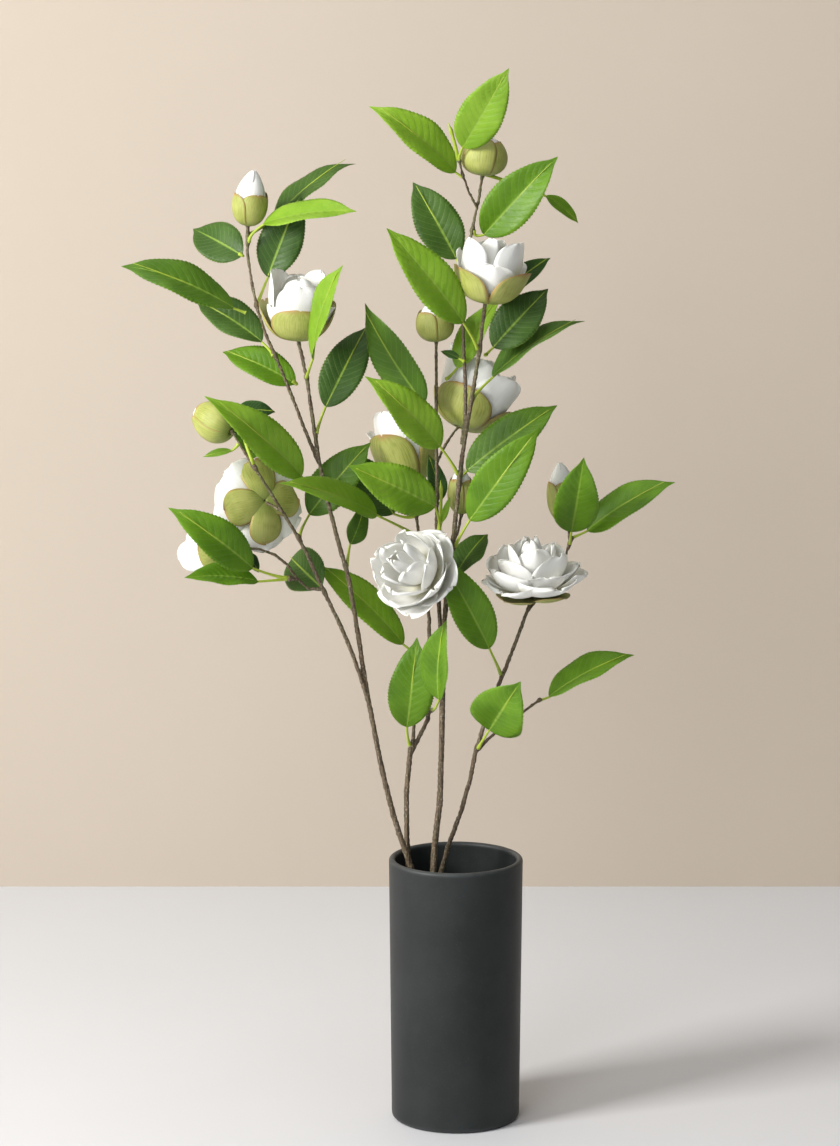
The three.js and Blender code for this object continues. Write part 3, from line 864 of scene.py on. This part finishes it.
def petal_white():
    finish = Finish("petal_white")
    across, along, inner = finish.attribute("shares")
    spread = finish.add("CombineXYZ", None, {0: across * 9.0, 1: along * 1.3, 2: inner})
    streak = finish.noise(spread, 2.2, 4.0, 0.6)
    cloud = finish.noise(finish.own_place(), 45.0, 3.0, 0.5)
    tint = finish.mix(finish.ramp(streak, 0.35, 0.7), (0.91, 0.91, 0.88, 1), (0.95, 0.95, 0.94, 1))
    tint = finish.mix(finish.ramp(cloud, 0.5, 0.8, 0, 0.35), tint, (0.88, 0.86, 0.78, 1))
    tint = finish.mix(finish.ramp(along, 0.5, 0.0, 0, 0.75), tint, (0.78, 0.75, 0.42, 1))
    tint = finish.mix(finish.ramp(along, 0.97, 1.0, 0, 0.3), tint, (0.84, 0.80, 0.70, 1))
    normal = finish.bump(streak, 0.2 * MM)
    rough = 0.5 + 0.16 * cloud
    return finish.surface((0.98, 0.97, 0.9, 1), 0.24, Base_Color=tint, Roughness=rough, Normal=normal)


def sepal_olive():
    finish = Finish("sepal_olive")
    across, along, inner = finish.attribute("shares")
    spread = finish.add("CombineXYZ", None, {0: across * 12.0, 1: along * 1.2, 2: inner})
    line = finish.noise(spread, 2.4, 4.0, 0.65)
    patch = finish.noise(finish.own_place(), 60.0, 3.0, 0.6)
    tint = finish.mix(finish.ramp(line, 0.35, 0.65), (0.22, 0.25, 0.04, 1), (0.36, 0.38, 0.085, 1))
    tint = finish.mix(finish.ramp(patch, 0.35, 0.7, 0, 0.6), tint, (0.42, 0.43, 0.13, 1))
    tint = finish.mix(finish.ramp(along, 0.35, 0.0, 0, 0.6), tint, (0.13, 0.20, 0.03, 1))
    rim = finish.ramp(abs(across), 0.84, 1.0, 0, 0.6) + finish.ramp(along, 0.80, 1.0, 0, 0.75)
    rim = rim * finish.ramp(patch, 0.3, 0.6, 0.4, 1.1)
    tint = finish.mix(rim.maths("MINIMUM", rim, 1.0), tint, (0.36, 0.16, 0.06, 1))
    tint = finish.mix(0.5 * inner, tint, (0.46, 0.47, 0.24, 1))
    normal = finish.bump(line, 0.3 * MM)
    return finish.surface(Base_Color=tint, Roughness=0.46 + 0.2 * patch, Normal=normal)


petal_finish, sepal_finish = petal_white(), sepal_olive()


def set_on_head(points, foot, axis, spin):
    """Moves a grid from the head's own frame to its place: azimuth 0 looks to the front, and
    spin turns the head about its axis."""
    front = unit(np.array([0.0, -1.0, 0.0]) + axis[1] * axis + 1e-6)
    side = np.cross(axis, front)
    first = front * math.cos(spin) + side * math.sin(spin)
    return foot + points @ np.stack([first, np.cross(axis, first), axis])


def ring_of_petals(ring, line, foot, axis, radius, height, spin, cover, gap, ruffle, thick, seed):
    count, half_width, hug, shortest = ring
    random = np.random.default_rng(seed)
    grids = []
    for i in range(count):
        azimuth = 2 * math.pi * i / count
        reach = cover * random.uniform(shortest, 1.0)
        grid = petal(line, reach, half_width, hug, radius, height, azimuth, gap, ruffle, random)
        thin = thick * (1 - 0.6 * np.abs(np.linspace(-1, 1, PETAL_COLUMNS)) ** 3)
        thin = thin * np.linspace(1.1, 0.5, PETAL_ROWS)[:, None]
        grids.append((*slab(set_on_head(grid, foot, axis, spin), thin), 0))
    return grids


def flower(node, kind, spin, cover, seed):
    """Petals as one piece, which stands for the CAD head, and the sepals as another."""
    foot, axis, radius, height = measure_head(node)
    ruffle = {"bud": 0.006, "cup": 0.03, "open": 0.045}[kind]
    spin = math.radians(spin)
    petals = []
    for i, (*ring, a, b, c, d) in enumerate(RINGS[kind]):
        place = foot, axis, radius * 0.96, height * 0.97, spin + math.pi / 3 + 1.05 * i
        petals += ring_of_petals(ring, (a, b, c, d), *place, 1.0, 0.0, ruffle, PETAL_THICKNESS, seed + i)
    assembled(node + "_petals", petals, [petal_finish], node)
    line = UNDER_BLOOM if kind == "open" else RINGS[kind][0][4:]
    place = foot, axis, radius * 0.96, height * 0.97, spin
    ring = SEPAL_RINGS[kind]
    sepals = ring_of_petals(ring, line, *place, cover, SEPAL_GAP, 0.0, SEPAL_THICKNESS, seed + 9)
    button = bend([foot - 1.0 * MM * axis, foot + 0.06 * height * axis], np.linspace(0, 1, 5))
    radii = np.array([0.5, 0.9, 1.0, 0.9, 0.4]) * 2.6 * MM
    sepals.append((*rod(button, radii, 12), 0))
    assembled(node + "_sepals", sepals, [sepal_finish])


for seed, node in enumerate(head_nodes):
    kind = "bud" if node.startswith("bud") else "open" if node.endswith("open") else "cup"
    flower(node, kind, *heads[node], 100 * (seed + 1))
